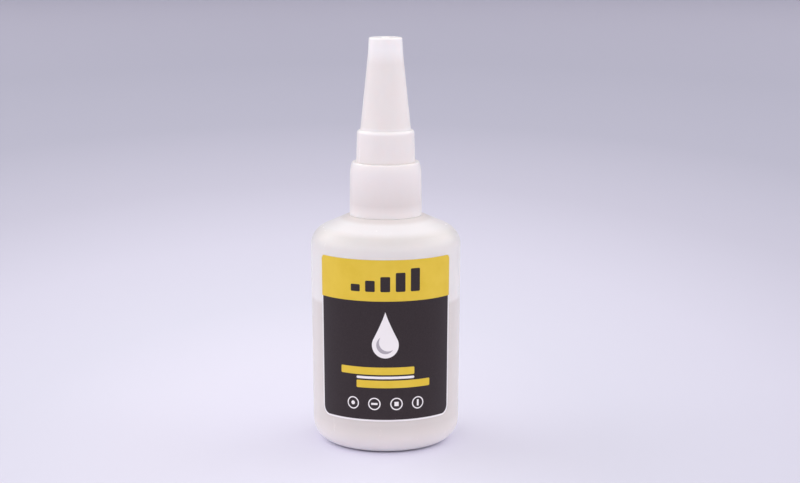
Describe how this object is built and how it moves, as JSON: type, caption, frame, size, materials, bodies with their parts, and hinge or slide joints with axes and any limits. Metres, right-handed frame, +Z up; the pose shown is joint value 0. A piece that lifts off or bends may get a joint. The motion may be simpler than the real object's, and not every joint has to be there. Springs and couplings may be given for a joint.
{
  "type": "super glue bottle",
  "caption": "Round squeeze bottle of instant adhesive with a screw-on dropper nozzle and a tall tapered screw cap that holds a pin in the tip.",
  "frame": {"origin": "centre of the base, on the surface that the bottle stands on", "axes": "+Z up along the bottle's axis towards the cap, -Y towards the viewer through the middle of the label, +X to the viewer's right"},
  "size_m": [0.042, 0.0421, 0.1139],
  "materials": {
    "milky_plastic": "milky blown polyethylene, satin",
    "clear_adhesive": "clear straw-coloured liquid",
    "printed_paper": "coated label paper, printed yellow over charcoal",
    "seal_foam": "soft closed-cell washer",
    "nozzle_plastic": "natural moulded polyethylene, satin",
    "pin_steel": "drawn steel wire",
    "cap_plastic": "natural moulded polyethylene, satin"
  },
  "bodies": {
    "bottle": {"bottle": "milky_plastic", "adhesive": "clear_adhesive", "front_label": "printed_paper"},
    "neck_seal": {"neck_seal": "seal_foam"},
    "nozzle": {"nozzle": "nozzle_plastic"},
    "clog_pin": {"clog_pin": "pin_steel"},
    "cap": {"cap": "cap_plastic"}
  },
  "joints": [
    {"name": "nozzle_rise", "type": "slide", "parent": "bottle", "child": "neck_seal", "axis": [0, 0, 1], "range_m": [0, 0.0158]},
    {"name": "nozzle_turn", "type": "hinge", "parent": "neck_seal", "child": "nozzle", "pos_m": [0, 0, 0.077], "axis": [0, 0, 1], "range_deg": [0, 1800]},
    {"name": "cap_rise", "type": "slide", "parent": "nozzle", "child": "clog_pin", "axis": [0, 0, 1], "range_m": [0, 0.036]},
    {"name": "cap_turn", "type": "hinge", "parent": "clog_pin", "child": "cap", "pos_m": [0, 0, 0.0794], "axis": [0, 0, 1], "range_deg": [0, 2165]}
  ],
  "couplings": [
    {"joint": "nozzle_turn", "follows": "nozzle_rise", "rad_per_m": 1979},
    {"joint": "cap_turn", "follows": "cap_rise", "rad_per_m": 1047.2}
  ]
}
